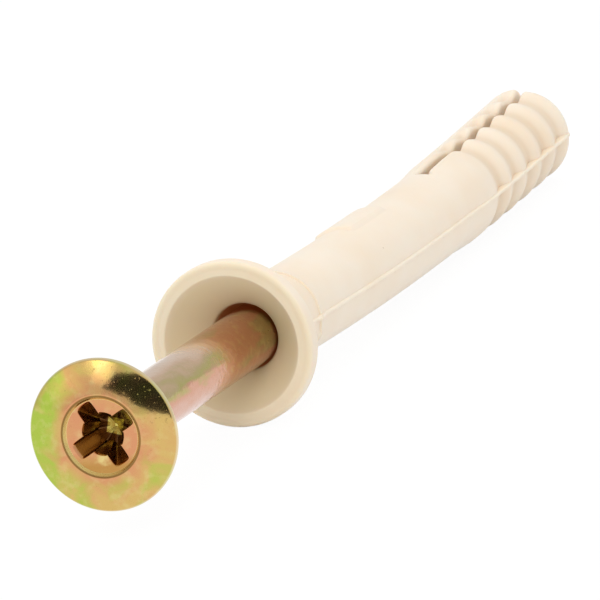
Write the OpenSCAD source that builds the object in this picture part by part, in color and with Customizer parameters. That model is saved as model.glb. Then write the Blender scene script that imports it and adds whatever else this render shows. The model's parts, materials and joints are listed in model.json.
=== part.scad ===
// Hammer fixing plug, 8 x 80: a moulded sleeve with a funnel collar and a split, barbed end,
// and the steel hammer screw that spreads that end when it is driven in.
// Millimetres, +Z up. Each piece is drawn along its own axis from the centre of the collar's
// front rim, then laid down on the collar and the barbed end, as the loose plug comes to rest.

/* [Sleeve body] */
// Length from the collar's front rim to the barbed end
sleeve_len = 80; // [76:1:120]
// Diameter of the smooth body, which is the drill size
sleeve_d = 8; // [7.6:0.1:8.4]
// Diameter of the thicker neck behind the collar
neck_d = 8.4; // [8.4:0.1:9]
// Distance from the front rim to the ring line where the neck ends
neck_end = 10.8; // [8:0.2:16]
// Length of the small taper at the ring line
neck_step_len = 0.3; // [0.1:0.1:1]

/* [Collar] */
// Outer diameter of the collar's lip
collar_d = 14.7; // [13.6:0.1:17]
// Length of the straight lip
lip_len = 1.6; // [1:0.1:2.5]
// Radius on the front edge of the lip
lip_edge_r = 0.6; // [0.2:0.1:0.9]
// Distance from the front rim to the neck, over the collar's cone
collar_len = 5.2; // [4.4:0.1:7]
// Diameter of the funnel's mouth at the front rim
mouth_d = 12.1; // [11:0.1:12.4]
// Depth of the funnel
mouth_depth = 3.4; // [2.6:0.1:4]

/* [Bore] */
// Room left under the screw at the narrow end of the guide bore
guide_gap = 0.05; // [0.02:0.01:0.2]
// Moulding draft: how much wider the bore's radius is at the funnel than at that end
bore_draft = 0.1; // [0:0.02:0.3]
// Length over which the bore narrows ahead of the screw's point
narrowing_len = 9; // [7:0.5:12]
// Bore diameter through the barbed end, which the screw forces open
pilot_d = 3; // [2:0.1:3.6]

/* [Barbed end] */
// Length of the slot that splits the end into two legs
slot_len = 30; // [24:1:40]
// Width of the slot where it starts
slot_w = 1.4; // [0.8:0.05:2]
// Width of the slot at the end
slot_end_w = 0.6; // [0.3:0.05:1.4]
// Diameter over the barbs
barb_d = 8.4; // [8.4:0.1:9]
// Length of the flare from the body to the barbs
flare_len = 7; // [3:0.5:10]
// Number of barb grooves
groove_count = 5; // [2:1:6]
// Distance from one groove to the next
groove_pitch = 4.3; // [3.8:0.1:5]
// Depth of the grooves
groove_depth = 0.65; // [0.3:0.05:0.9]
// Length of the slope that falls into each groove
groove_fall = 3; // [2:0.1:3.4]
// Straight land on the last barb
end_land = 0.1; // [0.1:0.1:1]
// Radius on the edge of the end face
end_edge_r = 1.4; // [0.5:0.1:1.5]

/* [Parting line] */
// Height of the parting line on the neck and body
seam_h = 0.12; // [0.05:0.01:0.25]
// Width of the parting line on the neck and body
seam_w = 0.4; // [0.2:0.05:0.8]
// Height of the parting line over the barbs
rib_h = 0.05; // [0.02:0.01:0.2]
// Width of the parting line's rib across the grooves
rib_w = 0.35; // [0.25:0.05:1]

/* [Hammer screw] */
// Length from under the head to the point
screw_len = 83; // [75:0.5:95]
// Distance that the head stands off the collar, as supplied
screw_out = 31; // [20:0.5:40]
// How far the loose screw leans over in the bore, onto its wall
screw_lean = 0.35; // [0:0.05:0.5]
// Side that it leans to, clockwise from the top as seen from the head
lean_turn = 114; // [0:2:358]
// Diameter of the smooth shank
shank_d = 5; // [4.6:0.1:5.2]
// Diameter at the bottom of the thread
thread_root_d = 4.2; // [3.6:0.1:4.5]
// Distance from one thread crest to the next
thread_pitch = 1.75; // [1.25:0.25:2.5]
// Length of the threaded stretch above the point
thread_len = 24.5; // [12:0.5:36]
// Length of the point
point_len = 6; // [4:0.5:8]
// Diameter of the blunt tip
tip_d = 0.7; // [0.4:0.1:1.2]

/* [Screw head] */
// Diameter of the head
head_d = 13.1; // [12.9:0.1:14]
// Thickness of the head at its edge
head_edge = 0.65; // [0.4:0.05:1]
// Height of the dome above that edge
dome_h = 1; // [0.6:0.05:1.6]
// Room between the cone under the head and the collar's funnel
seat_gap = 0.4; // [0.1:0.05:0.6]
// Diameter of the sunk dish at its rim
dish_d = 6.8; // [6.2:0.1:8]
// Diameter of the dish's flat floor
dish_floor_d = 6; // [5.7:0.05:6.1]
// Depth of the dish below the dome
dish_depth = 0.42; // [0.2:0.02:0.8]

/* [Cross recess] */
// Distance across the wings at the dish's floor
wing_span = 5.5; // [4.8:0.1:5.6]
// Thickness of a wing
wing_w = 1.5; // [1:0.05:1.8]
// Depth of the wings below the dish's floor
wing_depth = 3; // [2:0.1:3.4]
// Distance across the wings at their bottom
wing_bottom = 2.3; // [1.8:0.1:2.8]
// Distance across the corners that are cut back between the wings
notch_span = 3.5; // [2.6:0.1:3.8]
// Width of those cut corners
notch_w = 1.2; // [0.3:0.05:1.5]
// Turn of the recess round the screw's axis
recess_turn = 58.5; // [0:0.5:89.5]

/* [Hidden] */
$fn = 96;
// Overlap that keeps cuts and joined solids free of shared faces
eps = 0.5;
sleeve_r = sleeve_d / 2;
neck_r = neck_d / 2;
collar_r = collar_d / 2;
mouth_r = mouth_d / 2;
barb_r = barb_d / 2;
pilot_r = pilot_d / 2;
shank_r = shank_d / 2;
root_r = thread_root_d / 2;
tip_r = tip_d / 2;
head_r = head_d / 2;

// The bore takes its size from the screw that lies in it
guide_r = shank_r + screw_lean + guide_gap;
bore_r = guide_r + bore_draft;

// Stations along the axis, from the front rim
slot_start = sleeve_len - slot_len;
groove_rise = groove_pitch - groove_fall;
last_crest = sleeve_len - end_edge_r - end_land;
barbs_start = last_crest - groove_count * groove_pitch;
flare_start = barbs_start - flare_len;
tip_z = screw_len - screw_out;
point_start = tip_z - point_len;
thread_start = point_start - thread_len;
guide_end = point_start + eps;
pilot_start = guide_end + narrowing_len;
under_head = -screw_out;
head_top = under_head - head_edge - dome_h;

// Sphere that forms the dome, and the dish's floor below it
dome_r = (head_r * head_r + dome_h * dome_h) / (2 * dome_h);
dome_centre = head_top + dome_r;
dish_rim = dome_centre - sqrt(dome_r * dome_r - dish_d * dish_d / 4);
dish_floor = dish_rim + dish_depth;

// The cone under the head runs parallel to the funnel
funnel_slope = mouth_depth / (mouth_r - bore_r);
seat_r = mouth_r - seat_gap;
seat_len = (seat_r - shank_r) * funnel_slope;

// The plug rests on the lip's back edge and on the two slot edges of the last barb
crest_slot_w = slot_w + (slot_end_w - slot_w) * (last_crest - slot_start) / slot_len;
end_rest_h = sqrt(barb_r * barb_r - crest_slot_w * crest_slot_w / 4);
rest_tilt = atan((collar_r - end_rest_h) / (last_crest - lip_len));

// Points per rounded stretch of an outline
arc_steps = 6;

// Lays a piece drawn along +Z down along +Y, with its -Y side up, tilted onto its two rests
module lying() {
    rotate([-90 - rest_tilt, 0, 0]) children();
}

// Points of a quarter round about a centre, from start_angle on
function quarter(centre_r, centre_z, radius, start_angle) = [
    for (i = [0 : arc_steps])
        let (a = start_angle + 90 * i / arc_steps)
            [centre_r + radius * cos(a), centre_z + radius * sin(a)]
];

// Outline of one groove: a rounded slope that falls towards the end, then a steep round shoulder back up
function groove(start_z) = concat(
    [for (i = [0 : arc_steps - 1])
        let (t = i / arc_steps)
            [barb_r - groove_depth * (1 - cos(90 * t)), start_z + groove_fall * t]],
    [for (i = [0 : arc_steps - 1])
        let (t = i / arc_steps)
            [barb_r - groove_depth * (1 - sin(90 * t)), start_z + groove_fall + groove_rise * (1 - cos(90 * t))]]
);

module sleeve_outline() {
    polygon(concat(
        [[0, 0]],
        quarter(collar_r - lip_edge_r, lip_edge_r, lip_edge_r, -90),
        [
            [collar_r, lip_len],
            [neck_r, collar_len],
            [neck_r, neck_end],
            [sleeve_r, neck_end + neck_step_len],
            [sleeve_r, flare_start],
        ],
        [for (i = [0 : groove_count - 1]) each groove(barbs_start + i * groove_pitch)],
        [[barb_r, last_crest]],
        quarter(barb_r - end_edge_r, sleeve_len - end_edge_r, end_edge_r, 0),
        [[0, sleeve_len]]
    ));
}

module bore_outline() {
    polygon([
        [0, -eps],
        [mouth_r + eps / funnel_slope, -eps],
        [bore_r, mouth_depth],
        [guide_r, guide_end],
        [pilot_r, pilot_start],
        [pilot_r, sleeve_len + eps],
        [0, sleeve_len + eps],
    ]);
}

// Side view of the parting line on the neck and body, from the axis out
module seam_outline() {
    polygon([
        [0, collar_len],
        [neck_r + seam_h, collar_len],
        [neck_r + seam_h, neck_end],
        [sleeve_r + seam_h, neck_end + neck_step_len],
        [sleeve_r + seam_h, flare_start],
        [barb_r + rib_h, barbs_start],
        [0, barbs_start],
    ]);
}

// Side view of the rib that carries the parting line across the grooves
module rib_outline() {
    polygon(concat(
        [[0, barbs_start], [barb_r + rib_h, barbs_start]],
        quarter(barb_r + rib_h - end_edge_r, sleeve_len - end_edge_r, end_edge_r, 0),
        [[0, sleeve_len]]
    ));
}

// Front view of the slot, which narrows towards the end
module slot_outline() {
    polygon([
        [-slot_w / 2, slot_start],
        [slot_w / 2, slot_start],
        [slot_end_w / 2, sleeve_len],
        [slot_end_w / 2, sleeve_len + eps],
        [-slot_end_w / 2, sleeve_len + eps],
        [-slot_end_w / 2, sleeve_len],
    ]);
}

// A fin on each side of the axis, of one width
module both_sides(width) {
    rotate([90, 0, 0]) linear_extrude(width, center = true) {
        children();
        mirror([1, 0]) children();
    }
}

module sleeve() {
    color("antiquewhite") lying() difference() {
        union() {
            rotate_extrude() sleeve_outline();
            both_sides(seam_w) seam_outline();
            both_sides(rib_w) rib_outline();
        }
        rotate_extrude() bore_outline();
        rotate([90, 0, 0]) linear_extrude(collar_d, center = true) slot_outline();
    }
}

// Shank with its threaded stretch drawn as rings that lean towards the head
module shank_outline() {
    turns = floor(thread_len / thread_pitch);
    polygon(concat(
        [
            [0, under_head - eps],
            [shank_r, under_head - eps],
            [shank_r, thread_start],
        ],
        [for (i = [0 : turns - 1]) each [
            [root_r, thread_start + thread_pitch * (i + 0.1)],
            [root_r, thread_start + thread_pitch * (i + 0.4)],
            [shank_r, thread_start + thread_pitch * (i + 0.85)],
            [shank_r, thread_start + thread_pitch * (i + 1)],
        ]],
        [
            [root_r, point_start],
            [tip_r, tip_z],
            [0, tip_z],
        ]
    ));
}

module head_blank() {
    intersection() {
        translate([0, 0, dome_centre]) sphere(r = dome_r);
        translate([0, 0, head_top - eps]) cylinder(r = head_r, h = under_head - head_top + eps);
    }
    translate([0, 0, under_head]) cylinder(r1 = seat_r, r2 = shank_r, h = seat_len);
}

module cross_recess() {
    intersection() {
        translate([0, 0, dish_floor - eps]) linear_extrude(wing_depth + eps) union() {
            for (turn = [0, 90]) rotate(turn) {
                square([wing_span + eps, wing_w], center = true);
                rotate(45) square([notch_span, notch_w], center = true);
            }
        }
        translate([0, 0, dish_floor - eps])
            cylinder(d1 = wing_span + (wing_span - wing_bottom) * eps / wing_depth,
                     d2 = wing_bottom, h = wing_depth + eps);
    }
    translate([0, 0, dish_floor + wing_depth]) cylinder(d1 = wing_w, d2 = 0, h = wing_w / 2);
}

module hammer_screw() {
    dish_spread = (dish_d - dish_floor_d) / dish_depth;
    lean = [screw_lean * sin(lean_turn), -screw_lean * cos(lean_turn), 0];
    color("goldenrod") lying() translate(lean) difference() {
        union() {
            rotate_extrude() shank_outline();
            head_blank();
        }
        translate([0, 0, dish_rim - eps])
            cylinder(d1 = dish_d + dish_spread * eps, d2 = dish_floor_d, h = dish_depth + eps);
        rotate([0, 0, recess_turn]) cross_recess();
    }
}

sleeve();
hammer_screw();
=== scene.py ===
# Hammer fixing plug, 8 x 80: a cream nylon sleeve with its yellow-passivated hammer screw part way in
import json
import math
import bmesh
import bpy
import numpy as np
from mathutils import Matrix, Vector


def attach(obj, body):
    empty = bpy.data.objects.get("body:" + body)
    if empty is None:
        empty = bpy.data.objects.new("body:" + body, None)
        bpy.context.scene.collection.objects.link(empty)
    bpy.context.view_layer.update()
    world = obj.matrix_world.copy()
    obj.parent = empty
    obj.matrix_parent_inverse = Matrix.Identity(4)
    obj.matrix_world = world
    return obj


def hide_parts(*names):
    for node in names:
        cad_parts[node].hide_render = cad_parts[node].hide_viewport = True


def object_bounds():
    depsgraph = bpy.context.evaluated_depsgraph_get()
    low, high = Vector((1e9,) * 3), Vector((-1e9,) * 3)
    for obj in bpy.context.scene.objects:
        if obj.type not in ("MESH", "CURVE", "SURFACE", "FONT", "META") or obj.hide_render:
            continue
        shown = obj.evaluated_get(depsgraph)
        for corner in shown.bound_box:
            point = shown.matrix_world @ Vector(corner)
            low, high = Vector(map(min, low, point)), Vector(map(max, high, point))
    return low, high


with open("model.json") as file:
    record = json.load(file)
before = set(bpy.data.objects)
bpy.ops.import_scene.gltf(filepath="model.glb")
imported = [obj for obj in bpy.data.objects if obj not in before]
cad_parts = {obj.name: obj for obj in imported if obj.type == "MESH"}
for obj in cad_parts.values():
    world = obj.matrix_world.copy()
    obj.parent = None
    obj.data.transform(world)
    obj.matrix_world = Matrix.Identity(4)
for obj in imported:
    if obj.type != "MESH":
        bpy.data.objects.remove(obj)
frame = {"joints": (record.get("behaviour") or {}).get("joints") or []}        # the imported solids, which stay where they are
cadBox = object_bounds()
scene = bpy.context.scene
mm = 0.001

# The plug's own axes: z runs from the collar's front rim to the barbed end, x sideways and y down
driveAxis = Vector(frame["joints"][0]["axis"]).normalized()
sideways = Vector((1, 0, 0))
upward = sideways.cross(driveAxis)
lying = Matrix((sideways, -upward, driveAxis)).transposed().to_4x4()
floorHeight = cadBox[0].z


def hexColour(code):  # sRGB hex to linear
    channels = [int(code[i:i + 2], 16) / 255 for i in (0, 2, 4)]
    return [c / 12.92 if c <= 0.04045 else ((c + 0.055) / 1.055) ** 2.4 for c in channels] + [1.0]


def addNode(tree, kind, inputs=None, **settings):  # inputs by name or number, a socket or a value
    node = tree.nodes.new(kind)
    for name, value in settings.items():
        setattr(node, name, value)
    for key, value in (inputs or {}).items():
        if isinstance(value, bpy.types.NodeSocket):
            tree.links.new(value, node.inputs[key])
        else:
            node.inputs[key].default_value = value
    return node


def mapRange(tree, value, low, high, start=0.0, end=1.0, **settings):
    node = addNode(tree, "ShaderNodeMapRange", {0: value, 1: low, 2: high, 3: start, 4: end}, **settings)
    return node.outputs[0]


def sums(tree, operation, *values, **settings):
    node = addNode(tree, "ShaderNodeMath", dict(enumerate(values)), operation=operation, **settings)
    return node.outputs[0]


def vectors(tree, operation, *values, output="Vector"):
    return addNode(tree, "ShaderNodeVectorMath", dict(enumerate(values)), operation=operation).outputs[output]


def scaled(tree, vector, factor):
    return addNode(tree, "ShaderNodeVectorMath", {0: vector, "Scale": factor}, operation="SCALE").outputs[0]


def noise(tree, vector, size, detail, distortion=0.0):
    return addNode(tree, "ShaderNodeTexNoise", {"Vector": vector, "Scale": 1 / size, "Detail": detail,
                                                "Distortion": distortion}).outputs


def mixed(tree, share, first, second):  # each colour is a hex code or a socket
    first, second = [hexColour(c) if isinstance(c, str) else c for c in (first, second)]
    return addNode(tree, "ShaderNodeMix", {0: share, 6: first, 7: second}, data_type="RGBA").outputs[2]


def newMaterial(name):
    material = bpy.data.materials.new(name)
    material.use_nodes = True
    material.node_tree.nodes.clear()
    return material, material.node_tree


# Nylon 6, injection moulded: satin and a little translucent, so edges glow; the rim, the funnel and the bore
# get painted shade, the bore also painted warm light, and the grooves painted shade
nylonLook = {"body": "f5e7d4", "warm": "f2dfc6", "hollowShade": "f0e2be", "bore": "d29a6a", "speck": "b0926f",
             "groove": "dcc09a", "grooveShade": 0.42, "paintedBoreGlow": "b0602e", "paintedBoreGlowShare": 0.1,
             "roughness": 0.42, "ior": 1.53, "clouding": 9.0, "cloudLevels": (0.4, 0.75),
             "speckSpacing": 5.0, "speckSize": 0.09, "speckFrom": 0.72,
             "skinGrain": 0.35, "skinStrength": 0.12, "skinHeight": 0.05, "glow": 0.5, "glowDepth": 0.6}


def nylonMaterial():
    n = nylonLook
    material, tree = newMaterial("nylon_moulded_cream")
    inMm = scaled(tree, addNode(tree, "ShaderNodeTexCoord").outputs["Object"], 1 / mm)
    clouds = noise(tree, inMm, n["clouding"], 3.0)["Fac"]
    body = mixed(tree, mapRange(tree, clouds, *n["cloudLevels"]), n["body"], n["warm"])
    hollowShade, bore, groove = [addNode(tree, "ShaderNodeAttribute", attribute_name=name).outputs["Fac"]
                            for name in ("hollowShade", "bore", "groove")]
    # painted shade on the rim and inside the funnel and the bore
    body = mixed(tree, hollowShade, body, n["hollowShade"])
    # painted warm light and shade in the bore, around the screw
    body = mixed(tree, bore, body, n["bore"])
    # painted shade on the side of each groove that falls towards the end
    body = mixed(tree, mapRange(tree, groove, 0.0, 1.0, 0.0, n["grooveShade"]), body, n["groove"])
    cells = addNode(tree, "ShaderNodeTexVoronoi", {"Vector": inMm, "Scale": 1 / n["speckSpacing"]}).outputs
    near = sums(tree, "LESS_THAN", cells["Distance"], n["speckSize"] / n["speckSpacing"])
    chosen = addNode(tree, "ShaderNodeSeparateColor", {0: cells["Color"]}).outputs[0]
    speck = sums(tree, "MULTIPLY", near, sums(tree, "GREATER_THAN", chosen, n["speckFrom"]))
    grain = noise(tree, inMm, n["skinGrain"], 2.0)["Fac"]
    bump = addNode(tree, "ShaderNodeBump", {"Height": grain, "Strength": n["skinStrength"],
                                            "Distance": n["skinHeight"] * mm})
    # the bore also glows faintly with painted light, though it is no lamp
    shader = addNode(tree, "ShaderNodeBsdfPrincipled", {
        "Base Color": mixed(tree, speck, body, n["speck"]), "Roughness": n["roughness"], "IOR": n["ior"],
        "Subsurface Weight": n["glow"], "Subsurface Radius": (1.0, 0.8, 0.6),
        "Subsurface Scale": n["glowDepth"] * mm, "Emission Color": hexColour(n["paintedBoreGlow"]),
        "Emission Strength": sums(tree, "MULTIPLY", bore, n["paintedBoreGlowShare"]), "Normal": bump.outputs[0]})
    addNode(tree, "ShaderNodeOutputMaterial", {0: shader.outputs[0]})
    return material


# Zinc plate with yellow chromate: a gold mirror with drifts of green and rose, and a few dull pits; painted
# highlights on the head's edge and the dish's wall, and painted shade round the dish and in the cross recess
zincLook = {
    "gold": "d7b56e", "green": "aec450", "rose": "d9986e", "pale": "e6d896", "edge": "f0e6ca",
    "dishWallHighlight": "ecdc92", "dishRingShade": "866631", "dishLow": "b98a45",
    "recess": "b08b55", "deep": "5f4024", "pitHighlight": "d4c66a", "funnel": "c8906e", "olive": "b39d68",
    "roughness": 0.09, "speckRoughness": 0.3, "recessRoughness": 0.2, "wallRoughness": 0.32,
    "shankDulling": 0.04, "patches": 2.6, "patchTwist": 0.7, "mottle": 0.8, "streaks": 1.6, "drawing": 0.3,
    "speckSize": 0.26, "speckBump": 0.03, "speckHeight": 0.02, "waves": (0.06, 0.5), "waveHeight": 0.06,
    "greenWay": (-0.99, 0.12, 0), "brightPatchSpot": (-0.15, 1.95, 0.0)}
# where the tones of the zinc begin and end, in mm from the screw's axis or along it
zincReach = {
    "leftward": (2.0, 5.5), "outward": (3.6, 4.6), "inward": (5.4, 3.1), "edge": (6.42, 6.54),
    "lowDown": (1.5, 2.6), "bands": (-2.5, 2.5), "rosy": (-8.2, -5.4), "shank": (-28.6, -27.6),
    "sunk": (0.03, 0.3), "recessEnd": -28.2, "recessRim": 3.19, "deep": (2.2, 2.6), "pitHighlight": (2.96, 3.0),
    "brightened": (1.45, 1.05)}
# how much of a tone shows at most
zincShare = {"inward": 0.95, "pale": 0.35, "dishLine": 0.85, "lowDown": 0.8, "edge": 0.55, "brightened": 0.7}
# noise levels between which a tone comes in, and the factor and the start of a drift
zincNoise = {"pale": (0.5, 0.75), "olive": (0.5, 0.68), "speck": (0.63, 0.72), "greenDrift": (3.2, -1.55),
             "roseDrift": (2.6, -1.25), "bandDrift": (1.1, -0.55), "rosyFray": 3.0, "brightPatchFray": 1.6}
# middle and half width of the painted highlight and the painted shade line round the dish, and how soft they
# end
dishLines = {"dishWallHighlight": (3.29, 0.09), "dishRingShade": (3.47, 0.07)}
dishLineSoft = 0.05
# colours across the drawn shank, from its upper edge to its lower one
shankBands = ((0.0, "d9bda4"), (0.22, "cfae90"), (0.38, "bca679"), (0.55, "b2a862"), (0.72, "d29c80"),
              (1.0, "d8ac99"))


def zincMaterial(place):
    z = zincLook
    reach = zincReach
    share = zincShare
    level = zincNoise
    material, tree = newMaterial("steel_zinc_yellow_chromate")
    spot = addNode(tree, "ShaderNodeTexCoord").outputs["Object"]
    back = place.inverted()
    own = addNode(tree, "ShaderNodeMapping",
                  {"Vector": spot, "Rotation": back.to_euler(), "Scale": (1 / mm,) * 3,
                   "Location": back.translation}).outputs[0]
    axes = addNode(tree, "ShaderNodeSeparateXYZ", {0: own}).outputs
    flat = addNode(tree, "ShaderNodeCombineXYZ", {0: axes[0], 1: axes[1]}).outputs[0]
    radius = vectors(tree, "LENGTH", flat, output="Value")
    drift = noise(tree, own, z["patches"], 4.0, z["patchTwist"])["Color"]
    patch = addNode(tree, "ShaderNodeSeparateColor", {0: drift}).outputs
    mottle = noise(tree, own, z["mottle"], 3.0)["Fac"]
    grain = noise(tree, own, z["speckSize"], 2.0)["Fac"]
    # the film is thicker towards the left rim, where it turns green, and rose near the dish
    leftward = vectors(tree, "DOT_PRODUCT", flat, z["greenWay"], output="Value")
    greenDrift = sums(tree, "MULTIPLY_ADD", patch[0], *level["greenDrift"])
    green = sums(tree, "ADD", mapRange(tree, leftward, *reach["leftward"]), greenDrift, use_clamp=True)
    green = sums(tree, "MULTIPLY", green, mapRange(tree, radius, *reach["outward"]))
    inward = mapRange(tree, radius, *reach["inward"], 0.0, share["inward"])
    roseDrift = sums(tree, "MULTIPLY_ADD", patch[1], *level["roseDrift"])
    rose = sums(tree, "ADD", inward, roseDrift, use_clamp=True)
    pale = mapRange(tree, mottle, *level["pale"], 0.0, share["pale"])
    colour = mixed(tree, rose, z["gold"], z["rose"])
    colour = mixed(tree, green, colour, z["green"])
    colour = mixed(tree, pale, colour, z["pale"])
    # painted highlight on the dish's wall, and painted shade in the line round it
    onTop = sums(tree, "LESS_THAN", axes[2], screwSizes["underHead"])
    lines = {}
    for name, (middle, half) in dishLines.items():
        off = sums(tree, "ABSOLUTE", sums(tree, "SUBTRACT", radius, middle))
        line = mapRange(tree, off, half, half + dishLineSoft, share["dishLine"], 0.0)
        lines[name] = sums(tree, "MULTIPLY", line, onTop)
        colour = mixed(tree, lines[name], colour, z[name])
    lowDown = mapRange(tree, axes[1], *reach["lowDown"], 0.0, share["lowDown"])
    inDish = sums(tree, "LESS_THAN", radius, screwSizes["dishFloorR"])
    colour = mixed(tree, sums(tree, "MULTIPLY", lowDown, inDish), colour, z["dishLow"])
    # painted highlight along the edge of the head
    brightened = mapRange(tree, radius, *reach["edge"], 0.0, share["edge"])
    colour = mixed(tree, brightened, colour, z["edge"])
    # drawn streaks along the shank; where it stands in the funnel it turns rosy and olive, partly the film's
    # own rose and partly a painted reflection of the funnel's warm shade
    drawn = vectors(tree, "MULTIPLY", own, (1, 1, z["drawing"]))
    streak = noise(tree, drawn, z["streaks"], 3.0)["Fac"]
    crossing = vectors(tree, "DOT_PRODUCT", flat, ringWay(screwSizes["tiltTurn"]), output="Value")
    bandDrift = sums(tree, "MULTIPLY_ADD", streak, *level["bandDrift"])
    bandPlace = sums(tree, "ADD", mapRange(tree, crossing, *reach["bands"]), bandDrift)
    bands = addNode(tree, "ShaderNodeValToRGB", {0: bandPlace})
    while len(bands.color_ramp.elements) < len(shankBands):
        bands.color_ramp.elements.new(0.5)
    for element, (position, code) in zip(bands.color_ramp.elements, shankBands):
        element.position = position
        element.color = hexColour(code)
    rosy = mapRange(tree, sums(tree, "MULTIPLY_ADD", mottle, level["rosyFray"], axes[2]), *reach["rosy"])
    inFunnel = mixed(tree, mapRange(tree, streak, *level["olive"]), z["funnel"], z["olive"])
    inFunnel = mixed(tree, pale, inFunnel, z["pale"])
    onShank = mapRange(tree, axes[2], *reach["shank"])
    colour = mixed(tree, onShank, colour, mixed(tree, rosy, bands.outputs[0], inFunnel))
    # the dish is brighter in a frayed patch beside the recess, in the colour of the wall's highlight
    away = vectors(tree, "DISTANCE", flat, z["brightPatchSpot"], output="Value")
    frayed = sums(tree, "MULTIPLY_ADD", mottle, level["brightPatchFray"], away)
    brightPatch = mapRange(tree, frayed, *reach["brightened"], 0.0, share["brightened"])
    colour = mixed(tree, brightPatch, colour, z["dishWallHighlight"])
    # painted shade in the cross recess, darkest deep down, and a painted highlight on the punch point
    depth = sums(tree, "SUBTRACT", axes[2], headLevels()["floor"])
    recess = mapRange(tree, depth, *reach["sunk"])
    for value, limit in ((axes[2], reach["recessEnd"]), (radius, reach["recessRim"])):
        recess = sums(tree, "MULTIPLY", recess, sums(tree, "LESS_THAN", value, limit))
    recessShading = z["recess"]
    for name in ("deep", "pitHighlight"):
        recessShading = mixed(tree, mapRange(tree, depth, *reach[name]), recessShading, z[name])
    colour = mixed(tree, recess, colour, recessShading)
    rough = mapRange(tree, grain, *level["speck"], z["roughness"], z["speckRoughness"])
    rough = sums(tree, "MULTIPLY_ADD", onShank, z["shankDulling"], rough)
    rough = mapRange(tree, recess, 0.0, 1.0, rough, z["recessRoughness"])
    rough = mapRange(tree, lines["dishWallHighlight"], 0.0, 1.0, rough, z["wallRoughness"])
    fine = addNode(tree, "ShaderNodeBump", {"Height": grain, "Strength": z["speckBump"],
                                            "Distance": z["speckHeight"] * mm}).outputs[0]
    # the shank is drawn a little wavy, which breaks up what it mirrors
    wavy = mapRange(tree, onShank, 0.0, 1.0, *z["waves"])
    bump = addNode(tree, "ShaderNodeBump", {"Height": mottle, "Strength": wavy, "Normal": fine,
                                            "Distance": z["waveHeight"] * mm}).outputs[0]
    shader = addNode(tree, "ShaderNodeBsdfPrincipled", {
        "Base Color": colour, "Metallic": 1.0, "Roughness": rough, "Normal": bump})
    addNode(tree, "ShaderNodeOutputMaterial", {0: shader.outputs[0]})
    return material


def softPath(corners, step):  # corners are (radius, z, tangent length of the rounding)
    points = []
    for i, (r, z, soft) in enumerate(corners):
        here = np.array((r, z))
        if soft and 0 < i < len(corners) - 1:
            before = np.array(corners[i - 1][:2]) - here
            after = np.array(corners[i + 1][:2]) - here
            first = here + before / np.linalg.norm(before) * soft
            last = here + after / np.linalg.norm(after) * soft
            for t in np.linspace(0, 1, 7):
                points.append((1 - t) ** 2 * first + 2 * t * (1 - t) * here + t * t * last)
        else:
            points.append(here)
    path = [points[0]]
    for point in points[1:]:
        pieces = max(1, int(np.linalg.norm(point - path[-1]) / step))
        start = path[-1]
        path += [start + (point - start) * k / pieces for k in range(1, pieces + 1)]
    return np.array(path)


def smooth(value, low, high):
    t = np.clip((value - low) / (high - low), 0, 1)
    return t * t * (3 - 2 * t)


def makeObject(name, mesh):
    piece = bpy.data.objects.new(name, mesh)
    scene.collection.objects.link(piece)
    return piece


def runNodes(piece, tree, values):  # sets inputs by identifier, then makes the result a plain mesh
    modifier = piece.modifiers.new(tree.name, "NODES")
    modifier.node_group = tree
    for socket in tree.interface.items_tree:
        if socket.name in values:
            modifier[socket.identifier] = values[socket.name]
    graph = bpy.context.evaluated_depsgraph_get()
    shaped = bpy.data.meshes.new_from_object(piece.evaluated_get(graph))
    piece.modifiers.remove(modifier)
    piece.data = shaped


def finishMesh(piece, place, sharpAngle):  # the place goes into the mesh; smooth, with crisp edges
    mesh = piece.data
    mesh.transform(Matrix.Scale(mm, 4) @ place)
    mesh.polygons.foreach_set("use_smooth", [True] * len(mesh.polygons))
    mesh.set_sharp_from_angle(angle=math.radians(sharpAngle))
    mesh.update()


sleeveSizes = {
    "length": 80.0, "bodyR": 4.0, "neckR": 4.2, "neckEnd": 10.8, "neckGroove": 0.17,
    "lipR": 7.35, "lipLength": 1.6, "lipRound": 0.55, "collarEnd": 5.2, "rimDipR": 6.65, "rimDip": 0.07,
    "mouthR": 6.05, "mouthEdge": 0.1, "mouthDepth": 3.4, "boreR": 2.95,
    "guideR": 2.9, "guideEnd": 46.5, "pilotR": 1.5, "pilotStart": 55.5,
    "slotStart": 50.0, "slotW": 1.4, "slotEndW": 0.2, "slotEdge": 0.4, "edgeRise": 0.4, "endCorner": 0.35,
    "closedAt": 51.2, "closedHalf": 0.13, "flareEnd": 54.5,
    "barbStart": 57.0, "barbR": 4.2, "endRound": 1.4, "landStart": 21.0, "landEnd": 50.0,
    "seamH": 0.19, "seamW": 0.36, "seamRise": (-0.1, 0.6), "seamFade": 0.3, "ribH": 0.14, "ribW": 0.3,
    "wornH": 0.1, "wornReach": 0.3, "landSoft": (8, 12), "grooveProbe": 0.5, "sharpAngle": 38,
    "padStart": 28.6, "padEnd": 36.8, "padLeft": -41.5, "padRight": 16.0, "padH": 0.26,
    "padSide": (2.6, 2.8), "padFoot": (-0.24, 0.12),
    "groovePitch": 4.3, "grooveCount": 5, "grooveFall": 2.8, "grooveDepth": 0.5,
    "bow": 0.9, "bowTurn": 150.0, "nearLeg": (0.1, -0.05, 0.0), "farLeg": (-0.15, -0.28, 0.0),
}
slotShares = (0.05, 0.4, 0.75, 1.0)   # ring points up the slot's flat side
edgeTurns = (18, 36, 54, 72)          # and round its edge, in degrees
slotSteps = len(slotShares) + len(edgeTurns) - 1
arcSteps = 34                         # ring points from the slot's edge to the parting line
# rows of points along the sleeve
sleeveRows = {"beforeSlot": (0, 0.05, 0.15, 0.3), "afterSlot": (0, 0.1, 0.2, 0.4), "flare": 13,
              "padEdge": (0.12, 0, -0.12, -0.24), "fall": 14, "rise": 10, "tip": 12, "frontStep": 0.6,
              "neckStep": 0.14}
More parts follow.
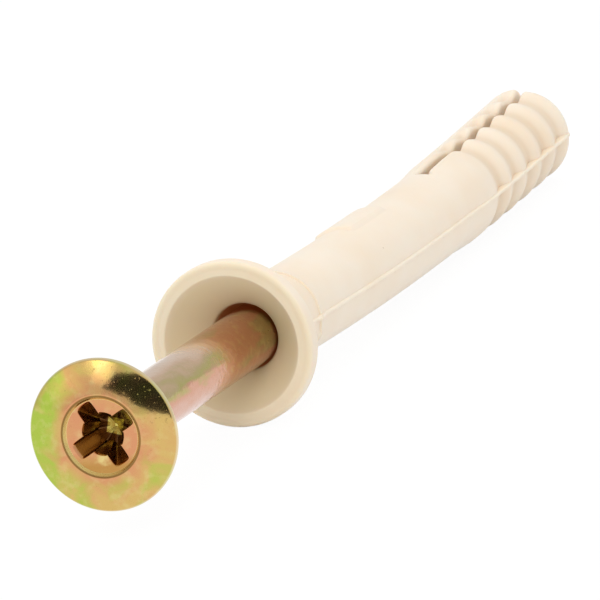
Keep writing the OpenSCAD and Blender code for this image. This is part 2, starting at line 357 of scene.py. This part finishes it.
# the parting line across, in half widths and in heights, and its waves: size, rate, start
ribSteps = (-1, -0.62, -0.5, -0.3, 0)
ribHeights = (0.55, 1, 1)
seamWaves = ((0.2, 1.9, 0), (0.18, 4.4, 1))
# painted shade on the rim and in the funnel, painted warm light and shade in the bore, and painted shade in
# the grooves
sleeveTones = {"rim": 0.55, "rimDepth": 0.5, "rimInside": 0.8, "boreFrom": (3.4, 4.2), "boreFade": (8, 14),
               "boreFades": 0.8, "legBore": 0.2, "grooveFrom": (0.2, 1.8), "grooveLit": 3.0}
# crumbs of flash where the parting line meets the neck: turn, place along, height, width
flashBits = ((88, 9.6, 0.16, 0.35), (90, 10.3, 0.2, 0.3), (111, 10.7, 0.24, 0.3), (119, 10.5, 0.14, 0.28))


def slotHalf(z, side):  # the slot narrows towards the end, where its corners are rounded off
    s = sleeveSizes
    ends = (s["slotStart"], s["length"])
    half = np.interp(z, ends, (s["slotW"] / 2, s["slotEndW"] / 2))
    if side > 0:  # the near leg closes in right at the start
        half = np.interp(z, (ends[0], s["closedAt"], ends[1]),
                         (s["slotW"] / 2, s["closedHalf"], s["slotEndW"] / 2))
    over = max(0, z - s["length"] + s["endCorner"])
    return half + s["endCorner"] - math.sqrt(s["endCorner"] ** 2 - over ** 2)


def seamLift(z, height):  # the parting line stands up a little unevenly
    return height * (1 + sum(size * math.sin(rate * z + start) for size, rate, start in seamWaves))


def outline(r, z, lift, side):  # the right half of a ring, from the top round to the bottom
    s = sleeveSizes
    edge = math.degrees(math.asin(slotHalf(z, side) / r))
    ribW = s["seamW"] + (s["ribW"] - s["seamW"]) * smooth(z, s["slotStart"], s["barbStart"])
    rib = 90 + np.degrees(np.array(ribSteps) * ribW / r)
    corner = edge + math.degrees(s["slotEdge"] / r)
    quarter = np.concatenate((np.linspace(0, edge, slotSteps + 1),
                              np.linspace(corner, rib[0], arcSteps)[:-1], rib))
    raised = np.concatenate((np.zeros(len(quarter) - len(ribHeights)), ribHeights))
    angles = np.concatenate((quarter, 180 - quarter[-2::-1]))
    raised = np.concatenate((raised, raised[-2::-1]))
    radii = r + raised * lift
    turn = np.radians(angles)
    points = np.stack((radii * np.sin(turn), -radii * np.cos(turn), np.full(len(turn), z)), 1)
    return points, angles, raised


def legRings(outR, inR, z, lift, side):  # outer and inner half rings of a leg, with the slot's flat side
    s = sleeveSizes
    outer, angles, raised = outline(outR, z, lift, side)
    inner, _, _ = outline(inR, z, 0.0, side)
    half = slotHalf(z, side)
    soft = s["slotEdge"] * smooth(z, s["slotStart"], s["slotStart"] + s["edgeRise"])
    flatTop = math.sqrt(outR ** 2 - (half + soft) ** 2) - soft
    boreTop = math.sqrt(inR ** 2 - half ** 2)
    middle = (flatTop + boreTop) / 2
    flank = [(half, middle + (flatTop - middle) * share) for share in slotShares]
    bends = np.radians(edgeTurns)
    flank += list(zip(half + soft * (1 - np.cos(bends)), flatTop + soft * np.sin(bends)))
    for k, (x, y) in enumerate(flank):
        inY = middle + (boreTop - middle) * max(k, 0.05) / slotSteps
        for row, sign in ((k, -1), (-1 - k, 1)):
            outer[row] = (x, sign * y, z)
            inner[row] = (half, sign * inY, z)
    return outer, inner, raised, angles


def sleeveStations():
    s = sleeveSizes
    rows = sleeveRows
    body = s["bodyR"]
    slot = s["slotStart"]
    ends = [(body, slot - d, 0) for d in rows["beforeSlot"]]
    ends += [(body, s[name] + d, 0) for name in ("padEnd", "padStart") for d in rows["padEdge"]]
    # the neck sinks a little to a step that shows as a line round it
    neckPlan = [(s["neckEnd"] + 1.2, body), (s["neckEnd"] + 0.08, s["neckR"]),
                (s["neckEnd"], s["neckR"] - s["neckGroove"]), (s["neckEnd"] - 1.8, s["neckR"])]
    neck = []
    for (fromZ, fromR), (toZ, toR) in zip(neckPlan[:-1], neckPlan[1:]):
        pieces = math.ceil((fromZ - toZ) / rows["neckStep"])
        neck += [(fromR + (toR - fromR) * k / pieces, fromZ + (toZ - fromZ) * k / pieces, 0)
                 for k in range(pieces)]
    outside = ends + neck + [
        (s["neckR"], neckPlan[-1][0], 0), (s["neckR"], s["collarEnd"], 0.5),
        (s["lipR"], s["lipLength"], 0.25), (s["lipR"], 0, s["lipRound"]),
        (s["rimDipR"], s["rimDip"], 0.12), (s["mouthR"] + s["mouthEdge"], 0, 0.04),
        (s["mouthR"], s["mouthEdge"] / 2, 0.03), (s["boreR"], s["mouthDepth"], 0.3)]
    narrowing = (slot - s["guideEnd"]) / (s["pilotStart"] - s["guideEnd"])
    boreAtSlot = s["guideR"] + (s["pilotR"] - s["guideR"]) * narrowing
    outside += [(s["guideR"], s["guideEnd"], 0), (boreAtSlot, slot, 0)]
    front = softPath(outside, rows["frontStep"])
    zs = [slot + d for d in rows["afterSlot"]]
    zs += list(np.linspace(slot + 1, s["barbStart"], rows["flare"]))
    for k in range(s["grooveCount"]):
        crest = s["barbStart"] + k * s["groovePitch"]
        zs += list(np.linspace(crest, crest + s["grooveFall"], rows["fall"])[1:])
        zs += list(np.linspace(crest + s["grooveFall"], crest + s["groovePitch"], rows["rise"])[1:])
    roundStart = s["length"] - s["endRound"]
    zs += list(roundStart + s["endRound"] * np.sin(np.linspace(0, math.pi / 2, rows["tip"])))
    flare = (s["slotStart"], s["flareEnd"])
    legs = []
    for z in zs:
        outR = np.interp(z, flare, (body, s["barbR"]))
        if z > roundStart:
            outR -= s["endRound"] - math.sqrt(max(0, s["endRound"] ** 2 - (z - roundStart) ** 2))
        inR = np.interp(z, (s["guideEnd"], s["pilotStart"]), (s["guideR"], s["pilotR"]))
        legs.append((outR, inR, z))
    return front, legs


def skinGrowth(turn, r, z):  # the raised pad and the crumbs of flash, as a share of the radius
    s = sleeveSizes
    foot, top = s["padFoot"]
    across = smooth(turn, s["padLeft"], s["padLeft"] + s["padSide"][0])
    across = across * (1 - smooth(turn, s["padRight"] - s["padSide"][1], s["padRight"]))
    along = smooth(z, s["padStart"] + foot, s["padStart"] + top)
    along = along * (1 - smooth(z, s["padEnd"] + foot, s["padEnd"] + top))
    grow = 1 + s["padH"] * across * along / r
    for bitTurn, bitZ, height, width in flashBits:
        away = np.hypot(np.radians(turn - bitTurn) * r, z - bitZ)
        grow = grow + height / r * np.exp(-(away / width) ** 2)
    return grow


def sleeveMesh():
    s = sleeveSizes
    tones = sleeveTones
    front, legs = sleeveStations()
    rim = int(np.argmin(front[:, 1]))
    points = []
    ways = []       # where a groove moves each point, per mm of depth
    hollowShades = []    # how much painted shade each point gets, on the rim and inside the funnel and the bore
    bores = []      # and how much painted warm light and shade from the screw each point gets in the bore
    faces = []
    for side in (1, -1):
        frontRows = []
        for i, (r, z) in enumerate(front):
            outside = i <= rim
            begun = smooth(z, *(s["collarEnd"] + d for d in s["seamRise"])) if outside else 0
            lift = seamLift(z, s["seamH"]) * begun
            ring, angles, _ = outline(r, z, lift, side)
            if outside:
                worn = s["wornH"] * max(0, (z - s["slotStart"] + s["wornReach"]) / s["wornReach"]) ** 2
                step = np.arange(len(angles))
                worn = np.where((step < slotSteps) | (step >= len(angles) - slotSteps), worn, 0)
                ring[:, :2] *= (skinGrowth(angles * side, r, z) - worn / r)[:, None]
            # painted shade on the rim's face and inside the funnel and the bore, and painted warm light and
            # shade in the bore
            nearRim = tones["rim"] * (1 - smooth(z, 0, tones["rimDepth"]))
            hollowShade = nearRim if outside else 1 - tones["rimInside"] * nearRim
            faded = 1 - tones["boreFades"] * smooth(z, *tones["boreFade"])
            bore = 0 if outside else smooth(z, *tones["boreFrom"]) * faded
            frontRows.append((ring, np.zeros_like(ring), np.full(len(ring), hollowShade),
                              np.full(len(ring), bore)))
        legRows = []
        for outR, inR, z in legs:
            height = s["seamH"] + (s["ribH"] - s["seamH"]) * smooth(z, s["slotStart"], s["barbStart"])
            fade = smooth(z, s["length"] - s["endRound"], s["length"] - s["seamFade"])
            lift = seamLift(z, height) * (1 - fade)
            outer, inner, raised, angles = legRings(outR, inR, z, lift, side)
            cut = legRings(outR - s["grooveProbe"], inR, z, lift, side)[0]
            way = (cut - outer) / s["grooveProbe"]
            if side < 0:  # the barbs of the far leg fade on a plain land
                land = smooth(angles, s["landStart"] - s["landSoft"][0], s["landStart"])
                land = land * (1 - smooth(angles, s["landEnd"], s["landEnd"] + s["landSoft"][1]))
                way = way * (1 - land)[:, None]
            way[raised > 0.3] = 0
            loop = np.concatenate((outer, inner[::-1]))
            way = np.concatenate((way, np.zeros_like(inner)))
            inBore = np.repeat((0.0, 1.0), len(inner))
            legRows.append((loop, way, inBore, tones["legBore"] * inBore))
        count = len(frontRows[0][0])
        base = sum(len(p) for p in points)
        for ring, way, hollowShade, bore in frontRows + legRows:
            points.append(ring * (side, 1, 1))
            ways.append(way * (side, 1, 1))
            hollowShades.append(hollowShade)
            bores.append(bore)
        rows = base + np.arange(len(frontRows) * count).reshape(-1, count)
        loops = base + len(frontRows) * count + np.arange(len(legRows) * 2 * count).reshape(-1, 2 * count)
        for near, far in zip(rows[:-1], rows[1:]):
            faces += np.stack((near[:-1], near[1:], far[1:], far[:-1]), 1).tolist()
        slotEnd = np.concatenate((rows[0], rows[-1][::-1]))
        for near, far in zip([slotEnd] + list(loops[:-1]), loops):
            faces += np.stack((near, np.roll(near, -1), np.roll(far, -1), far), 1).tolist()
        outer = loops[-1][:count]
        inner = loops[-1][:count - 1:-1]
        faces += np.stack((outer[:-1], outer[1:], inner[1:], inner[:-1]), 1).tolist()
    mesh = bpy.data.meshes.new("sleeve_nylon")
    mesh.from_pydata(np.concatenate(points).tolist(), [], faces)
    for name, shares in (("hollowShade", hollowShades), ("bore", bores)):
        mesh.attributes.new(name, "FLOAT", "POINT").data.foreach_set("value", np.concatenate(shares))
    grooveWay = mesh.attributes.new("grooveWay", "FLOAT_VECTOR", "POINT")
    grooveWay.data.foreach_set("vector", np.concatenate(ways).ravel())
    tidyMesh(mesh)
    return mesh


joinWithin = 0.0008
emptyBelow = 0.0005


def tidyMesh(mesh):  # joins the halves, drops empty faces, turns every face outwards
    work = bmesh.new()
    work.from_mesh(mesh)
    bmesh.ops.remove_doubles(work, verts=work.verts, dist=joinWithin)
    bmesh.ops.dissolve_degenerate(work, edges=work.edges, dist=emptyBelow)
    bmesh.ops.recalc_face_normals(work, faces=work.faces)
    work.to_mesh(mesh)
    work.free()


def startTree(name, sockets):  # a geometry tree, and the sockets of its named inputs
    tree = bpy.data.node_groups.new(name, "GeometryNodeTree")
    tree.interface.new_socket("Geometry", in_out="OUTPUT", socket_type="NodeSocketGeometry")
    for socket, kind in sockets.items():
        tree.interface.new_socket(socket, in_out="INPUT", socket_type="NodeSocket" + kind)
    return tree, addNode(tree, "NodeGroupInput").outputs


def endTree(tree, geometry, material):
    real = addNode(tree, "GeometryNodeRealizeInstances", {0: geometry}).outputs[0]
    painted = addNode(tree, "GeometryNodeSetMaterial", {0: real, "Material": material}).outputs[0]
    addNode(tree, "NodeGroupOutput", {0: painted})


def formingTree():  # presses the barbs into the legs, bends the legs and bows the sleeve
    tree, given = startTree("sleeve_forming", {
        "Geometry": "Geometry", "First Crest": "Float", "Pitch": "Float", "Count": "Int", "Fall": "Float",
        "Depth": "Float", "Slot Start": "Float", "Length": "Float", "Near Leg": "Vector", "Far Leg": "Vector",
        "Bow": "Vector", "Material": "Material"})
    eased = {"interpolation_type": "SMOOTHSTEP"}
    spot = addNode(tree, "GeometryNodeInputPosition").outputs[0]
    axes = addNode(tree, "ShaderNodeSeparateXYZ", {0: spot}).outputs
    turns = sums(tree, "DIVIDE", sums(tree, "SUBTRACT", axes[2], given["First Crest"]), given["Pitch"])
    begun = sums(tree, "GREATER_THAN", turns, 0.0)
    within = sums(tree, "MULTIPLY", begun, sums(tree, "LESS_THAN", turns, given["Count"]))
    along = sums(tree, "MULTIPLY", sums(tree, "FRACT", turns), given["Pitch"])
    fallen = mapRange(tree, along, 0.0, given["Fall"], **eased)
    risen = mapRange(tree, along, given["Fall"], given["Pitch"], 1.0, 0.0, **eased)
    deep = sums(tree, "MULTIPLY", fallen, risen)
    for share in (within, given["Depth"]):
        deep = sums(tree, "MULTIPLY", deep, share)
    way = addNode(tree, "GeometryNodeInputNamedAttribute", {"Name": "grooveWay"},
                  data_type="FLOAT_VECTOR").outputs[0]
    # the side of a groove that falls towards the end lies in shade
    dimmed = mapRange(tree, along, *sleeveTones["grooveFrom"], **eased)
    litAgain = sums(tree, "POWER", risen, sleeveTones["grooveLit"])
    for share in (litAgain, within, vectors(tree, "LENGTH", way, output="Value")):
        dimmed = sums(tree, "MULTIPLY", dimmed, share)
    marked = addNode(tree, "GeometryNodeStoreNamedAttribute", {
        "Geometry": given["Geometry"], "Name": "groove", "Value": dimmed}).outputs[0]
    wave = sums(tree, "SINE", mapRange(tree, axes[2], 0.0, given["Length"], 0.0, math.pi))
    near = sums(tree, "GREATER_THAN", axes[0], 0.0)
    ends = addNode(tree, "GeometryNodeSwitch", {"Switch": near, "False": given["Far Leg"],
                                                "True": given["Near Leg"]}, input_type="VECTOR").outputs[0]
    opening = mapRange(tree, axes[2], given["Slot Start"], given["Length"])
    moved = vectors(tree, "ADD", scaled(tree, way, deep), scaled(tree, given["Bow"], wave))
    moved = vectors(tree, "ADD", moved, scaled(tree, ends, opening))
    shaped = addNode(tree, "GeometryNodeSetPosition", {"Geometry": marked, "Offset": moved}).outputs[0]
    endTree(tree, shaped, given["Material"])
    return tree


def buildSleeve(material):
    s = sleeveSizes
    piece = makeObject("plug_sleeve", sleeveMesh())
    bowTurn = math.radians(s["bowTurn"])
    runNodes(piece, formingTree(), {
        "First Crest": s["barbStart"], "Pitch": s["groovePitch"], "Count": s["grooveCount"],
        "Fall": s["grooveFall"], "Depth": s["grooveDepth"], "Slot Start": s["slotStart"],
        "Length": s["length"], "Near Leg": s["nearLeg"], "Far Leg": s["farLeg"],
        "Bow": (s["bow"] * math.sin(bowTurn), -s["bow"] * math.cos(bowTurn), 0.0),
        "Material": material})
    finishMesh(piece, lying, s["sharpAngle"])
    print("sleeve", len(piece.data.polygons), "faces")
    return piece


screwSizes = {
    "lean": 0.33, "leanTurn": 110.0, "tilt": 0.56, "tiltTurn": 150.9, "underHead": -31.0, "headR": 6.58,
    "headEdge": 0.35, "domeH": 1.0, "seatR": 5.65, "seatEnd": -27.49,
    "dishR": 3.4, "dishFloorR": 3.2, "dishDepth": 0.32, "recessTurn": 58.5, "recessOff": 0.2, "offTurn": 25.6,
    "wingSpan": 2.95, "wingW": 0.75, "wingDepth": 3.0, "wingBottom": 1.15, "notchSpan": 1.85, "notchW": 0.6,
    "wallDepth": 2.6, "pitSide": 0.74, "pitStart": 2.95, "pitEnd": 3.4, "shankR": 2.6, "rootR": 2.1,
    "threadStart": 21.5, "pointStart": 46.0, "tip": 52.0, "tipR": 0.35,
    "threadPitch": 1.75, "threadH": 0.4, "threadFoot": 0.8, "threadTop": 0.25,
    "domeFrom": 3.62, "domeTo": 6.3, "cornerPower": 14, "wingTaper": 0.1, "notchTaper": 0.45,
    "threadSteps": 48, "runIn": 0.04, "runOut": 0.9, "runEnd": 0.05, "sharpAngle": 32,
}
headSteps = 360                                   # ring points round the head
pitRows = (0.2, 0.6, 1.0)                         # shares of the pit's width
wallRows = (2.2, 1.8, 1.4, 1.0, 0.6, 0.3, 0.12)   # depths in the cross recess
floorRows = (0, 0.06, 0.2, 0.4, 0.6, 0.8, 1.0)    # shares of the way out to the dish's wall


def ringWay(turn):  # sideways direction, clockwise from the top as seen from the head
    return Vector((math.sin(math.radians(turn)), -math.cos(math.radians(turn)), 0))


def screwPlace():  # the loose screw leans to the bore's wall and points a little off the collar's axis
    s = screwSizes
    pivot = Vector((0, 0, 1)).cross(ringWay(s["tiltTurn"]))
    seat = Matrix.Translation(ringWay(s["leanTurn"]) * s["lean"])
    return lying @ seat @ Matrix.Rotation(math.radians(s["tilt"]), 4, pivot)


def crossOutline(turn, depth, grow):  # how far the cross recess reaches in each direction
    s = screwSizes
    deep = depth / s["wingDepth"]
    span = s["wingSpan"] + (s["wingBottom"] - s["wingSpan"]) * deep + grow
    half = s["wingW"] * (1 - s["wingTaper"] * deep) + grow
    notch = s["notchSpan"] * (1 - s["notchTaper"] * deep) + grow
    reach = []
    for k in range(4):
        arm = turn - math.radians(s["recessTurn"] + 45 * k)
        wide, far = (half, span) if k % 2 == 0 else (s["notchW"] + grow, notch)
        side = wide / np.maximum(np.abs(np.sin(arm)), 1e-5)
        reach.append((side ** -s["cornerPower"] + far ** -s["cornerPower"]) ** (-1 / s["cornerPower"]))
    return np.max(reach, 0)


def headLevels():  # where the dome, the dish and its floor lie along the screw
    s = screwSizes
    edgeTop = s["underHead"] - s["headEdge"]
    domeR = (s["headR"] ** 2 + s["domeH"] ** 2) / (2 * s["domeH"])
    domeCentre = edgeTop - s["domeH"] + domeR
    dishRim = domeCentre - math.sqrt(domeR ** 2 - s["dishR"] ** 2)
    return {"edgeTop": edgeTop, "domeR": domeR, "domeCentre": domeCentre, "dishRim": dishRim,
            "floor": dishRim + s["dishDepth"]}


def screwMesh():
    s = screwSizes
    turn = np.linspace(0, 2 * math.pi, headSteps, endpoint=False)
    edgeTop, domeR, domeCentre, dishRim, floor = headLevels().values()
    rings = []
    # the punch ends in a small four-sided point
    faceTurn = turn - math.radians(s["recessTurn"] + 45)
    square = s["pitSide"] / np.maximum(np.abs(np.cos(faceTurn)), np.abs(np.sin(faceTurn)))
    for share in pitRows:
        rings.append((square * share, floor + s["pitEnd"] + (s["pitStart"] - s["pitEnd"]) * share, 1))
    for depth in (s["wallDepth"],) + wallRows:
        rings.append((crossOutline(turn, depth, 0.0), floor + depth, 1))
    rings.append((crossOutline(turn, 0.0, 0.02), floor + 0.03, 1))
    mouth = crossOutline(turn, 0.0, 0.05)
    floorR = s["dishFloorR"] - 0.02
    for share in floorRows:
        rings.append((mouth + (floorR - mouth) * share, floor, 1 - share))
    dome = [(r, domeCentre - math.sqrt(domeR ** 2 - r ** 2), 0)
            for r in np.linspace(s["domeFrom"], s["domeTo"], 20)]
    head = [(floorR, floor, 0), (s["dishFloorR"], floor, 0.02), (s["dishR"], dishRim, 0.06),
            (s["dishR"] + 0.06, dishRim + 0.05, 0), (s["dishR"] + 0.14, dishRim + 0.04, 0)] + dome
    head += [(s["headR"], edgeTop, 0.18), (s["headR"], s["underHead"], 0.15),
             (s["seatR"], s["underHead"], 0.1), (s["shankR"], s["seatEnd"], 0.5),
             (s["shankR"], s["seatEnd"] + 1.5, 0)]
    shank = [(s["shankR"], s["seatEnd"] + 1.5, 0), (s["shankR"], s["threadStart"] - 0.6, 0),
             (s["rootR"], s["threadStart"], 0), (s["rootR"], s["pointStart"], 0), (s["tipR"], s["tip"], 0)]
    for r, z in list(softPath(head, 0.3)[1:]) + list(softPath(shank, 3.0)[1:]):
        rings.append((np.full(headSteps, r), z, 0))
    off = ringWay(s["offTurn"]) * s["recessOff"]   # the cross was punched a little off centre
    rows = [np.stack((r * np.sin(turn) + off.x * share, -r * np.cos(turn) + off.y * share,
                      np.full(headSteps, z)), 1) for r, z, share in rings]
    points = np.concatenate(rows + [[(off.x, off.y, floor + s["pitEnd"])], [(0, 0, s["tip"])]])
    ids = np.arange(len(rows) * headSteps).reshape(-1, headSteps)
    faces = []
    for near, far in zip(ids[:-1], ids[1:]):
        faces += np.stack((near, np.roll(near, -1), np.roll(far, -1), far), 1).tolist()
    for ring, centre in ((ids[0], len(points) - 2), (ids[-1], len(points) - 1)):
        faces += [(int(a), int(b), centre) for a, b in zip(ring, np.roll(ring, -1))]
    mesh = bpy.data.meshes.new("hammer_screw_steel")
    mesh.from_pydata(points.tolist(), [], faces)
    tidyMesh(mesh)
    return mesh


def threadTree():  # winds the thread's ridge round the core, right-handed
    s = screwSizes
    tree, given = startTree("screw_thread", {
        "Geometry": "Geometry", "Start": "Float", "Turns": "Float", "Length": "Float", "Core Radius": "Float",
        "Ridge": "Float", "Foot": "Float", "Top": "Float", "Material": "Material"})
    helix = addNode(tree, "GeometryNodeCurveSpiral", {
        "Resolution": s["threadSteps"], "Rotations": given["Turns"], "Start Radius": given["Core Radius"],
        "End Radius": given["Core Radius"], "Height": given["Length"], "Reverse": True}).outputs[0]
    place = addNode(tree, "ShaderNodeCombineXYZ", {2: given["Start"]}).outputs[0]
    placed = addNode(tree, "GeometryNodeTransform", {"Geometry": helix, "Translation": place}).outputs[0]
    upright = addNode(tree, "GeometryNodeSetCurveNormal", {0: placed}, mode="Z_UP").outputs[0]
    factor = addNode(tree, "GeometryNodeSplineParameter").outputs["Factor"]
    runIn = mapRange(tree, factor, 0.0, s["runIn"], s["runEnd"], 1.0)
    runOut = mapRange(tree, factor, s["runOut"], 1.0, 1.0, s["runEnd"])
    swell = sums(tree, "MULTIPLY", runIn, runOut)
    profile = addNode(tree, "GeometryNodeCurvePrimitiveQuadrilateral", {
        "Bottom Width": given["Foot"], "Top Width": given["Top"], "Height": given["Ridge"], "Offset": 0.0},
        mode="TRAPEZOID").outputs[0]
    outward = addNode(tree, "GeometryNodeTransform", {
        "Geometry": profile, "Rotation": (0.0, 0.0, -math.pi / 2)}).outputs[0]
    swept = addNode(tree, "GeometryNodeCurveToMesh", {
        "Curve": upright, "Profile Curve": outward, "Scale": swell, "Fill Caps": True}).outputs[0]
    joined = addNode(tree, "GeometryNodeJoinGeometry")
    tree.links.new(given["Geometry"], joined.inputs[0])
    tree.links.new(swept, joined.inputs[0])
    endTree(tree, joined.outputs[0], given["Material"])
    return tree


def buildScrew(material):
    s = screwSizes
    piece = makeObject("plug_screw", screwMesh())
    length = s["pointStart"] - s["threadStart"]
    runNodes(piece, threadTree(), {
        "Start": s["threadStart"], "Turns": length / s["threadPitch"], "Length": length,
        "Core Radius": s["rootR"], "Ridge": s["threadH"] * 2, "Foot": s["threadFoot"] * 2,
        "Top": s["threadTop"], "Material": material})
    finishMesh(piece, screwPlace(), s["sharpAngle"])
    print("screw", len(piece.data.polygons), "faces")
    return piece


sleeve = buildSleeve(nylonMaterial())
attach(sleeve, "sleeve")
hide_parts("sleeve")
screw = buildScrew(zincMaterial(screwPlace()))
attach(screw, "hammer_screw")
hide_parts("hammer_screw")

# Long lens on the collar's rim, as the photograph has it
cameraFit = {"axisOffSight": 24.4, "sightTurn": 58.5, "axisClimb": 35.5, "distance": 1000.0,
             "pixelsPerMm": 11.68, "rimPixel": (230.9, 345.2), "picture": 600.0, "sensor": 36.0}


def buildCamera():
    c = cameraFit
    off = math.radians(c["axisOffSight"])
    turn = math.radians(c["sightTurn"])
    climb = math.radians(c["axisClimb"])
    side = sideways * math.sin(turn) + upward * math.cos(turn)
    back = side * math.sin(off) - driveAxis * math.cos(off)
    along = (driveAxis + back * math.cos(off)).normalized()
    across = back.cross(along)
    right = along * math.cos(climb) - across * math.sin(climb)
    up = along * math.sin(climb) + across * math.cos(climb)
    middle = c["picture"] / 2
    shiftX = (c["rimPixel"][0] - middle) / c["pixelsPerMm"]
    shiftY = (middle - c["rimPixel"][1]) / c["pixelsPerMm"]
    spot = (back * c["distance"] - right * shiftX - up * shiftY) * mm
    data = bpy.data.cameras.new("camera")
    data.sensor_width = c["sensor"]
    data.lens = c["sensor"] * c["pixelsPerMm"] * c["distance"] / c["picture"]
    data.clip_start = 0.05
    data.clip_end = 20
    camera = makeObject("camera", data)
    camera.matrix_world = Matrix.Translation(spot) @ Matrix((right, up, back)).transposed().to_4x4()
    scene.camera = camera
    return side, across


toCamera, across = buildCamera()
print("camera set")


def seenRays(tree):  # the rays that show a thing, not those that take light from it
    path = addNode(tree, "ShaderNodeLightPath").outputs
    seen = sums(tree, "MAXIMUM", path["Is Camera Ray"], path["Is Glossy Ray"])
    return sums(tree, "MAXIMUM", seen, path["Is Transmission Ray"])


# White sheet below the plug: bright to the eye, with a faint shadow left on it
sheetLook = {"colour": "f8f8f8", "glowShare": 0.93, "glow": 1.02, "half": 3}


def buildFloor():
    material, tree = newMaterial("white_sheet")
    share = sums(tree, "MULTIPLY", seenRays(tree), sheetLook["glowShare"])
    matt = addNode(tree, "ShaderNodeBsdfDiffuse", {0: hexColour(sheetLook["colour"])}).outputs[0]
    glow = addNode(tree, "ShaderNodeEmission", {"Strength": sheetLook["glow"]}).outputs[0]
    both = addNode(tree, "ShaderNodeMixShader", {0: share, 1: matt, 2: glow}).outputs[0]
    addNode(tree, "ShaderNodeOutputMaterial", {0: both})
    mesh = bpy.data.meshes.new("sheet")
    h = sheetLook["half"]
    corners = [(x, y, floorHeight) for x, y in ((-h, -h), (h, -h), (h, h), (-h, h))]
    mesh.from_pydata(corners, [], [(0, 1, 2, 3)])
    mesh.materials.append(material)
    sheet = makeObject("sheet", mesh)


def buildWorld():
    world = bpy.data.worlds.new("white_room")
    scene.world = world
    world.use_nodes = True
    tree = world.node_tree
    tree.nodes.clear()
    level = mapRange(tree, seenRays(tree), 0.0, 1.0, 0.93, 1.0)
    light = addNode(tree, "ShaderNodeBackground", {"Strength": level}).outputs[0]
    addNode(tree, "ShaderNodeOutputWorld", {0: light})


def buildLamp(name, spot, aim, size, watts):
    data = bpy.data.lights.new(name, "AREA")
    data.shape = "SQUARE"
    data.size = size
    data.energy = watts
    lamp = makeObject(name, data)
    lamp.location = spot
    lamp.rotation_euler = (Vector(spot) - Vector(aim)).to_track_quat("Z", "Y").to_euler()
    lamp.visible_glossy = False


cardDistance = 0.3
# Dark cloth, bright window and pale wall that the dome mirrors, in degrees off the line out of the head
darkCorners = ((-12.3, -18.2), (-6.4, -19.6), (-1.8, -20.2), (3, -16.6), (14, -11), (17, 4), (12, 13),
               (1.3, 1.9), (-2.6, -3.6), (-4, -9), (-8, -14))
windowMiddle = (-5.5, -29)
windowCorners = ((-18, -30), (-13, -38), (-3, -38), (3, -27), (0, -22), (-9, -17), (-15, -21))
wallMiddle = (-30, -31)
wallCorners = ((-52, -30), (-40, -44), (-20, -42), (-10, -30), (-18, -19), (-38, -20))


def buildCard(name, code, strength, corners, middle=None):  # with a middle, the card fades out to its edge
    material, tree = newMaterial(name)
    lit = addNode(tree, "ShaderNodeEmission", {0: hexColour(code), "Strength": strength}).outputs[0]
    head = driveAxis * screwSizes["underHead"] * mm
    spots = []
    for toward, down in corners + ((middle,) if middle else ()):
        ray = toCamera * math.tan(math.radians(toward)) - across * math.tan(math.radians(down)) - driveAxis
        spots.append(head + ray * cardDistance)
    count = len(corners)
    faces = [range(count)]
    mesh = bpy.data.meshes.new(name)
    if middle:
        faces = [(k, (k + 1) % count, count) for k in range(count)]
    mesh.from_pydata(spots, [], faces)
    if middle:
        fade = mesh.attributes.new("fade", "FLOAT", "POINT")
        fade.data.foreach_set("value", [0.0] * count + [1.0])
        share = addNode(tree, "ShaderNodeAttribute", attribute_name="fade").outputs["Fac"]
        clear = addNode(tree, "ShaderNodeBsdfTransparent").outputs[0]
        lit = addNode(tree, "ShaderNodeMixShader", {0: share, 1: clear, 2: lit}).outputs[0]
    addNode(tree, "ShaderNodeOutputMaterial", {0: lit})
    mesh.materials.append(material)
    card = makeObject(name, mesh)
    card.visible_camera = False
    card.visible_diffuse = False
    card.visible_transmission = False
    card.visible_shadow = False


buildFloor()
buildWorld()
buildLamp("softbox_overhead", (-0.05, 0.1, 0.6), (0, 0.03, 0), 0.5, 1.2)
buildLamp("softbox_front", (0.25, -0.75, 0.62), (0, 0, 0), 0.4, 1.75)
buildCard("dark_cloth", "38373c", 1.0, darkCorners)
buildCard("bright_window", "fffdf2", 2.9, windowCorners, windowMiddle)
buildCard("pale_wall", "fffdf2", 1.25, wallCorners, wallMiddle)
scene.view_settings.view_transform = "Standard"
print("room lit")
